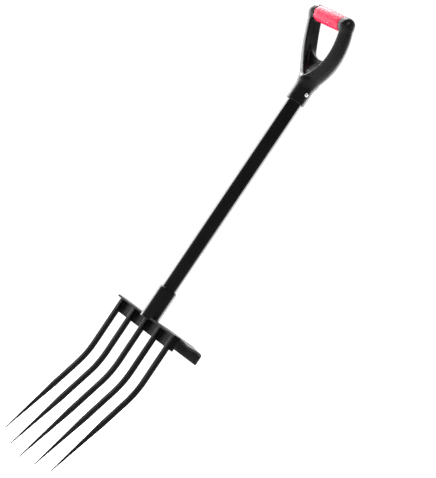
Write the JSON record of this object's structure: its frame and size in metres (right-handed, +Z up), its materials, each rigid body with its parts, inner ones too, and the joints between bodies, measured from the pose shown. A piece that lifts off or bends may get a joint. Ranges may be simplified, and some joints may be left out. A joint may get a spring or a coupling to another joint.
{
  "type": "digging fork",
  "caption": "Digging fork with curved square tines under an angle-section head, a side foot step, a steel tube shaft and a canted plastic D-handle with a red grip.",
  "frame": {"origin": "centre of the hand grip in the D-handle", "axes": "+Z up along the shaft, +X along the hand grip towards the foot-step side, -Y is the hollow front side that the tines curve towards"},
  "size_m": [0.2447, 0.1296, 1.0757],
  "materials": {
    "black_paint": "gloss black enamel on steel",
    "step_paint": "satin black enamel on steel",
    "black_plastic": "satin moulded polypropylene",
    "red_grip": "satin soft-touch overmould",
    "rivet": "bright plain"
  },
  "bodies": {
    "root": {"handle_yoke": "black_plastic", "grip_core": "black_plastic", "grip_sleeve": "red_grip", "handle_rivet": "rivet", "shaft_tube": "black_paint", "ferrule": "black_paint", "shaft_weld": "black_paint", "ferrule_weld": "black_paint", "head_bar": "black_paint", "tine_1": "black_paint", "tine_2": "black_paint", "tine_3": "black_paint", "tine_4": "black_paint", "tine_5": "black_paint", "tine_welds": "black_paint", "step_plate": "step_paint", "step_weld": "black_paint"}
  },
  "joints": []
}
